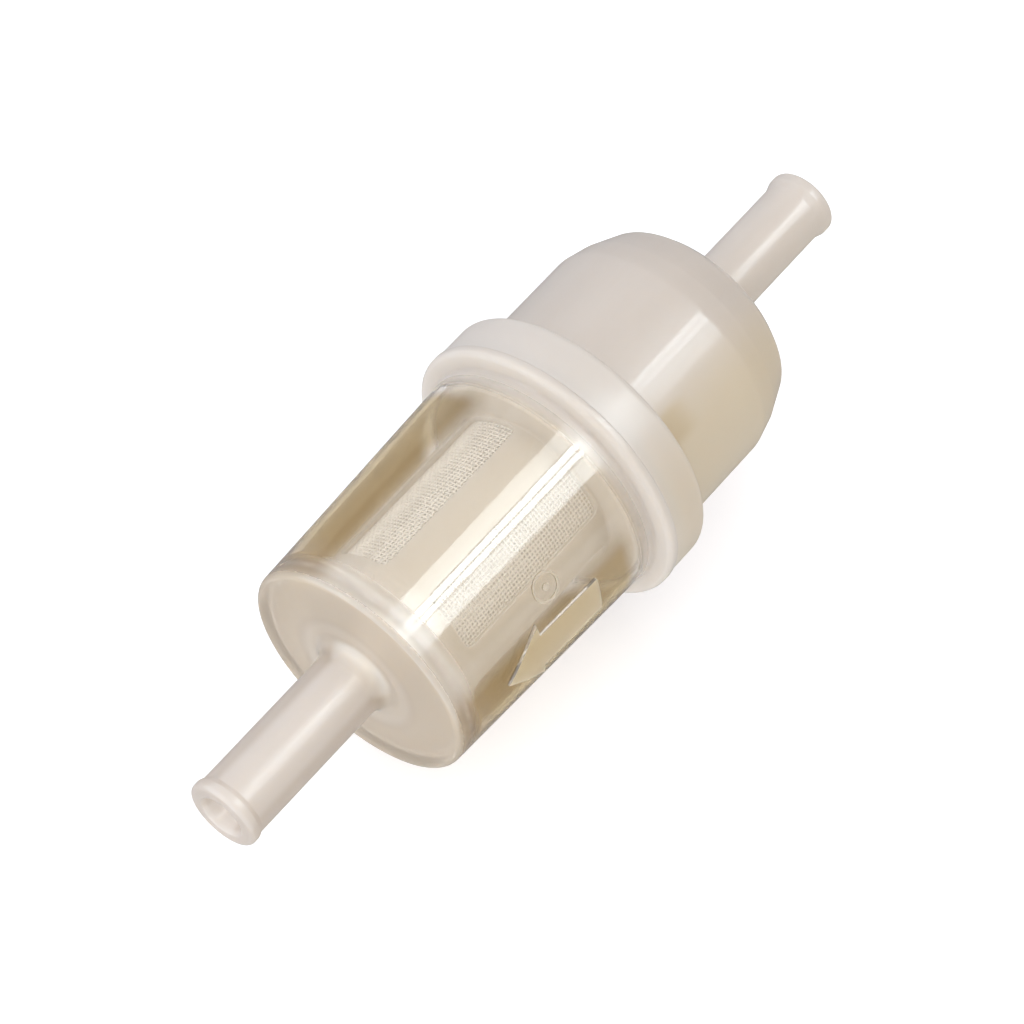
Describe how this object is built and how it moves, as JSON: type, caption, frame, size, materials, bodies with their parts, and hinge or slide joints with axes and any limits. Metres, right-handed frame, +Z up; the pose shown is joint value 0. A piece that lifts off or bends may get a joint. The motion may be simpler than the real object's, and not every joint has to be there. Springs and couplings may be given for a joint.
{
  "type": "fuel filter",
  "caption": "In-line fuel filter: clear cup and milky cap welded at a round flange, a straight beaded hose tube on each end, and a cage with fine mesh windows inside the cup.",
  "frame": {"origin": "centre of the bounding box, on the filter's axis", "axes": "+X along the filter's axis from the outlet tube (cup end) to the inlet tube (cap end); +Z up as the filter lies; the flow arrow is on the -Y side"},
  "size_m": [0.1014, 0.0346, 0.0346],
  "materials": {
    "clear_cup": "clear moulded nylon with a slight straw tint, glossy",
    "milky_cap": "milky translucent moulded nylon, glossy",
    "frame_plastic": "milky moulded nylon, satin",
    "mesh_cloth": "fine plain-woven nylon monofilament"
  },
  "bodies": {
    "root": {"outlet_cup": "clear_cup", "inlet_cap": "milky_cap", "strainer_frame": "frame_plastic", "strainer_mesh": "mesh_cloth"}
  },
  "joints": []
}
